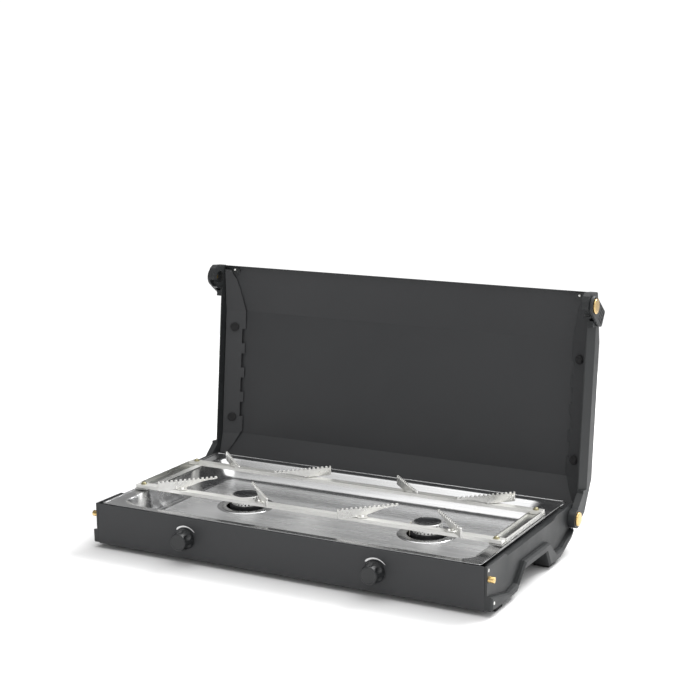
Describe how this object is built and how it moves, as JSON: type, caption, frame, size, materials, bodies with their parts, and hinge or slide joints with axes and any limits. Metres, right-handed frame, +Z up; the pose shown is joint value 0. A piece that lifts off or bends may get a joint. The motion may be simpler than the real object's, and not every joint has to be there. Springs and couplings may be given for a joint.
{
  "type": "two-burner camping stove",
  "caption": "Flat portable gas stove with a hinged lid on end latches, a drip tray with round burners, a pot frame with folding serrated supports, and front control knobs.",
  "frame": {"origin": "on the ground under the middle of the stove's bounding box, with the lid open and both knobs off", "axes": "+X to the stove's right, seen from the front; +Y to the back, away from the knobs; +Z up"},
  "size_m": [0.643, 0.402, 0.3652],
  "materials": {
    "powder_coat": "dark grey powder coat, fine texture, satin",
    "moulded_ends": "black-grey moulded plastic, soft sheen",
    "knob_plastic": "black moulded plastic, fine grain",
    "rubber": "matt black rubber",
    "tray_steel": "pressed stainless steel, polished",
    "frame_steel": "plated steel, satin",
    "burner_metal": "pressed burner metal, bright, dulled by heat on top",
    "brass": "turned brass, lightly polished",
    "ceramic": "off-white glazed ceramic",
    "print_white": "white printed control marks"
  },
  "bodies": {
    "base": {"front_panel": "powder_coat", "base_pan": "powder_coat", "side_cap_right": "moulded_ends", "side_cap_left": "moulded_ends", "foot_front_right": "rubber", "foot_front_left": "rubber", "foot_rear_right": "rubber", "foot_rear_left": "rubber", "drip_tray": "tray_steel", "burner_head_right": "burner_metal", "burner_head_left": "burner_metal", "burner_body_right": "burner_metal", "burner_body_left": "burner_metal", "spark_electrode_right": "ceramic", "spark_electrode_left": "ceramic", "gas_valve_right": "brass", "gas_valve_left": "brass", "gas_manifold": "frame_steel", "gas_inlet": "brass", "latch_stud_right": "brass", "latch_stud_left": "brass", "hinge_pin_right": "brass", "hinge_pin_left": "brass", "pot_frame_front_bar": "frame_steel", "pot_frame_rear_bar": "frame_steel", "pot_frame_rail_right": "frame_steel", "pot_frame_rail_left": "frame_steel", "frame_screw_front_right": "brass", "frame_screw_front_left": "brass", "frame_screw_rear_right": "brass", "frame_screw_rear_left": "brass"},
    "lid": {"lid_shell": "powder_coat", "lid_cap_right": "moulded_ends", "lid_cap_left": "moulded_ends", "lid_liner_right": "powder_coat", "lid_liner_left": "powder_coat", "bumper_upper_right": "rubber", "bumper_upper_left": "rubber", "bumper_lower_right": "rubber", "bumper_lower_left": "rubber", "lid_screw_right": "frame_steel", "lid_screw_left": "frame_steel", "latch_pin_right": "brass", "latch_pin_left": "brass"},
    "latch_right": {"latch_lever_right": "moulded_ends"},
    "latch_left": {"latch_lever_left": "moulded_ends"},
    "knob_right": {"knob_right": "knob_plastic", "valve_stem_right": "brass"},
    "knob_left": {"knob_left": "knob_plastic", "valve_stem_left": "brass"},
    "pot_support_left_front_a": {"pot_support_left_front_a": "frame_steel"},
    "pot_support_left_rear_a": {"pot_support_left_rear_a": "frame_steel"},
    "pot_support_left_front_b": {"pot_support_left_front_b": "frame_steel"},
    "pot_support_left_rear_b": {"pot_support_left_rear_b": "frame_steel"},
    "pot_support_right_front_a": {"pot_support_right_front_a": "frame_steel"},
    "pot_support_right_rear_a": {"pot_support_right_rear_a": "frame_steel"},
    "pot_support_right_front_b": {"pot_support_right_front_b": "frame_steel"},
    "pot_support_right_rear_b": {"pot_support_right_rear_b": "frame_steel"}
  },
  "joints": [
    {"name": "lid_hinge", "type": "hinge", "parent": "base", "child": "lid", "pos_m": [0, 0.116, 0.047], "axis": [1, 0, 0], "range_deg": [0, 96]},
    {"name": "latch_turn_right", "type": "hinge", "parent": "lid", "child": "latch_right", "pos_m": [0.3166, 0.15995, 0.34554], "axis": [1, 0, 0], "range_deg": [-106.5, 0]},
    {"name": "latch_turn_left", "type": "hinge", "parent": "lid", "child": "latch_left", "pos_m": [-0.3166, 0.15995, 0.34554], "axis": [1, 0, 0], "range_deg": [-106.5, 0]},
    {"name": "knob_turn_right", "type": "hinge", "parent": "base", "child": "knob_right", "pos_m": [0.1454, -0.18, 0.0365], "axis": [0, 1, 0], "range_deg": [-240, 0]},
    {"name": "knob_turn_left", "type": "hinge", "parent": "base", "child": "knob_left", "pos_m": [-0.151, -0.18, 0.0365], "axis": [0, 1, 0], "range_deg": [-240, 0]},
    {"name": "fold_left_front_a", "type": "hinge", "parent": "base", "child": "pot_support_left_front_a", "pos_m": [-0.2124, -0.096, 0.077], "axis": [0, 0, 1], "range_deg": [-45, 0]},
    {"name": "fold_left_rear_a", "type": "hinge", "parent": "base", "child": "pot_support_left_rear_a", "pos_m": [-0.2124, 0.044, 0.077], "axis": [0, 0, 1], "range_deg": [0, 45]},
    {"name": "fold_left_front_b", "type": "hinge", "parent": "base", "child": "pot_support_left_front_b", "pos_m": [-0.0824, -0.096, 0.077], "axis": [0, 0, 1], "range_deg": [0, 45]},
    {"name": "fold_left_rear_b", "type": "hinge", "parent": "base", "child": "pot_support_left_rear_b", "pos_m": [-0.0824, 0.044, 0.077], "axis": [0, 0, 1], "range_deg": [-45, 0]},
    {"name": "fold_right_front_a", "type": "hinge", "parent": "base", "child": "pot_support_right_front_a", "pos_m": [0.0824, -0.096, 0.077], "axis": [0, 0, 1], "range_deg": [-45, 0]},
    {"name": "fold_right_rear_a", "type": "hinge", "parent": "base", "child": "pot_support_right_rear_a", "pos_m": [0.0824, 0.044, 0.077], "axis": [0, 0, 1], "range_deg": [0, 45]},
    {"name": "fold_right_front_b", "type": "hinge", "parent": "base", "child": "pot_support_right_front_b", "pos_m": [0.2124, -0.096, 0.077], "axis": [0, 0, 1], "range_deg": [0, 45]},
    {"name": "fold_right_rear_b", "type": "hinge", "parent": "base", "child": "pot_support_right_rear_b", "pos_m": [0.2124, 0.044, 0.077], "axis": [0, 0, 1], "range_deg": [-45, 0]}
  ]
}
